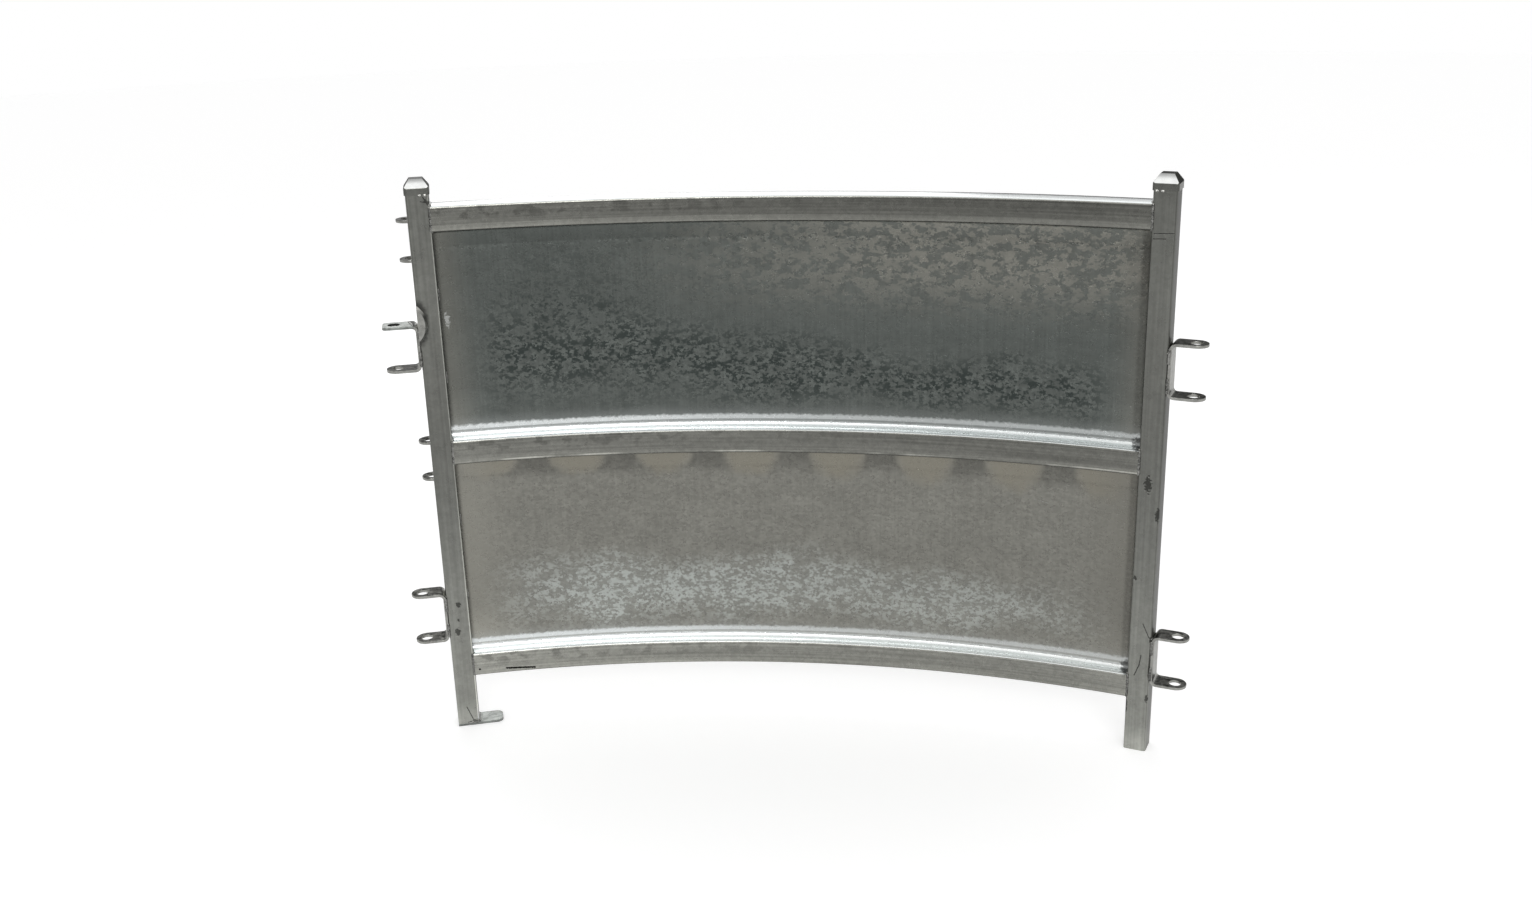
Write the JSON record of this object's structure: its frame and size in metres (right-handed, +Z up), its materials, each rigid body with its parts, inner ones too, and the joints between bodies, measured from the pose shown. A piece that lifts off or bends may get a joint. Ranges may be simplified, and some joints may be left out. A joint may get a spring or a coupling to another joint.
{
  "type": "curved sheeted sheep hurdle",
  "caption": "Curved sheep hurdle: sheeted panel of bent rails between square posts, with pin lugs at both ends to join hurdles into a round pen.",
  "frame": {"origin": "middle of the rectangle of ground that the hurdle covers", "axes": "+X along the hurdle to the right, +Y from its hollow side to its back, +Z up"},
  "size_m": [1.421, 0.1646, 1.045],
  "materials": {
    "galvanised_tube": "dull galvanised tube with drawn streaks",
    "galvanised_sheet": "galvanised sheet with fine spangle",
    "flat_bar": "galvanised flat bar",
    "zinc_bar": "bright, mottled zinc",
    "pressed_cap": "bright pressed steel",
    "weld_metal": "weld beads under zinc, with burnt spots"
  },
  "bodies": {
    "root": {"bracket_back_lower": "flat_bar", "bracket_back_upper": "flat_bar", "bracket_left_lower": "flat_bar", "bracket_left_upper": "flat_bar", "bracket_right_lower": "flat_bar", "bracket_right_upper": "flat_bar", "cap_left": "pressed_cap", "cap_right": "pressed_cap", "foot_plate": "flat_bar", "post_left": "galvanised_tube", "post_right": "galvanised_tube", "rail_bottom": "galvanised_tube", "rail_middle": "galvanised_tube", "rail_top": "galvanised_tube", "repair_lug": "zinc_bar", "sheet_lower": "galvanised_sheet", "sheet_upper": "galvanised_sheet", "weld_brackets_back": "weld_metal", "weld_brackets_left": "weld_metal", "weld_brackets_right": "weld_metal", "weld_caps": "weld_metal", "weld_foot": "weld_metal", "weld_pad_left": "weld_metal", "weld_rails_left": "weld_metal", "weld_rails_right": "weld_metal", "weld_repair": "weld_metal", "weld_sheets": "weld_metal"}
  },
  "joints": []
}
